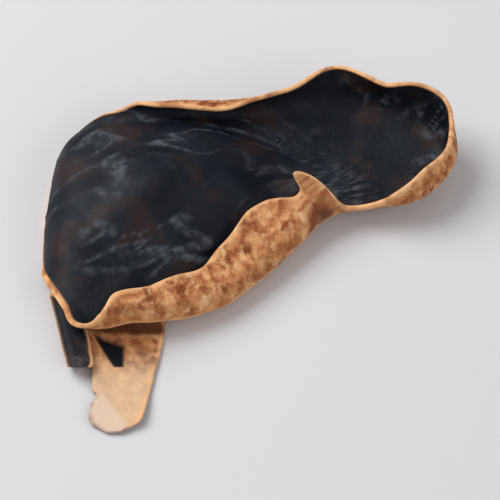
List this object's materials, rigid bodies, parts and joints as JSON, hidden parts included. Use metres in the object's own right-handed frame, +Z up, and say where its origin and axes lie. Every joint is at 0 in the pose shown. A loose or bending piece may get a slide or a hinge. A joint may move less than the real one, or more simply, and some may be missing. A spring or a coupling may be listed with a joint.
{
  "type": "dried wood ear mushroom",
  "caption": "Dried ear fungus: a thin curled black sheet with a tan felted back, a rolled rim, a folded tail and a short cut foot.",
  "frame": {"origin": "centre of the footprint box, on the surface that the ear lies on", "axes": "+X along the ear from the lobe with the tail to the narrow end, +Z up, -Y towards the rolled near rim"},
  "size_m": [0.0477, 0.0445, 0.0091],
  "materials": {
    "ear_skin": "dry matte black upper skin, tan felt underneath"
  },
  "bodies": {
    "root": {"wood_ear": "ear_skin"}
  },
  "joints": []
}
